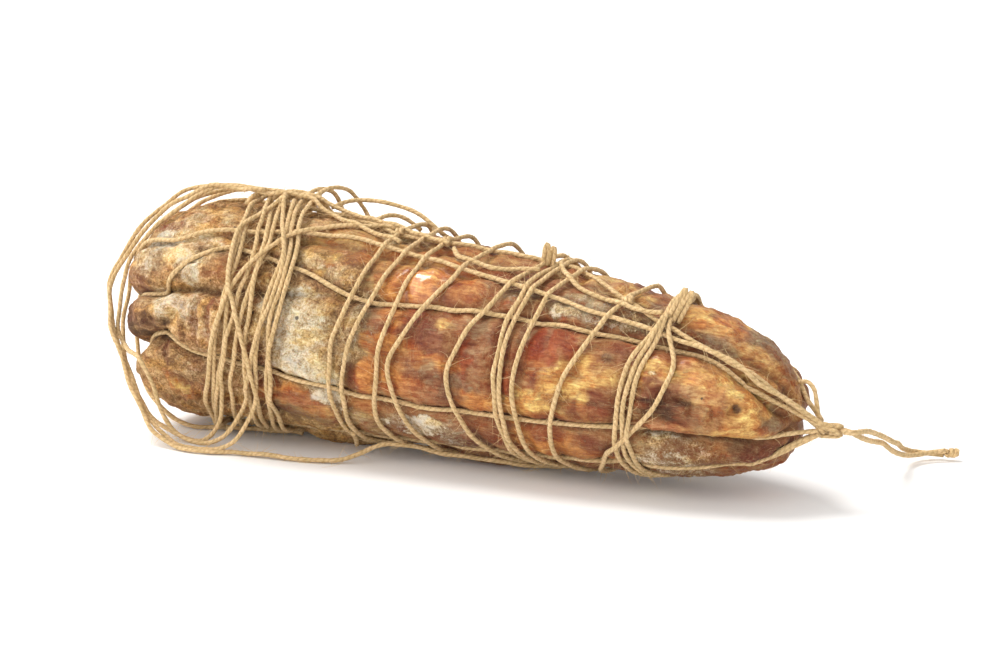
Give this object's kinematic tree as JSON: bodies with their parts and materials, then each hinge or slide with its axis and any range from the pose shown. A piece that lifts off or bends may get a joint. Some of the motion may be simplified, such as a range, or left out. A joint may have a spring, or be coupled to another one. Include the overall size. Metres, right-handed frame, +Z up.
{
  "type": "coppa",
  "caption": "Whole cured pork neck in its casing, tapering from a blunt butt to a tip, bound with twine and lying on its side.",
  "frame": {"origin": "on the table, under the middle of the bound meat without its free tail of twine", "axes": "+X from the blunt butt to the tapered tip, +Z up, -Y towards the side that is shown"},
  "size_m": [0.3457, 0.1417, 0.105],
  "materials": {
    "casing": "dry natural casing over cured meat, waxy where fat shows, with dusty cream mould",
    "twine": "rough two-ply jute, matte, with loose fibres"
  },
  "bodies": {
    "root": {"coppa": "casing", "knot_butt": "twine", "knot_tip": "twine", "run_ridge": "twine", "run_brow": "twine", "run_front": "twine", "run_flank": "twine", "run_keel": "twine", "run_back_low": "twine", "run_back": "twine", "run_back_high": "twine", "hoop_01": "twine", "hoop_02": "twine", "hoop_03": "twine", "hoop_04": "twine", "hoop_05": "twine", "hoop_06": "twine", "hoop_07": "twine", "hoop_08": "twine", "hoop_09": "twine", "hoop_10": "twine", "hoop_11": "twine", "hoop_12": "twine", "turn_01": "twine", "turn_02": "twine", "turn_03": "twine", "turn_04": "twine", "turn_05": "twine", "turn_06": "twine", "turn_07": "twine", "turn_08": "twine", "turn_09": "twine", "butt_loop_1": "twine", "butt_loop_2": "twine", "butt_loop_3": "twine", "butt_loop_4": "twine", "butt_loop_5": "twine", "table_strand": "twine", "standing_loop_1": "twine", "standing_loop_2": "twine", "tail_strand_1": "twine", "tail_strand_2": "twine", "tail_knob": "twine"}
  },
  "joints": []
}
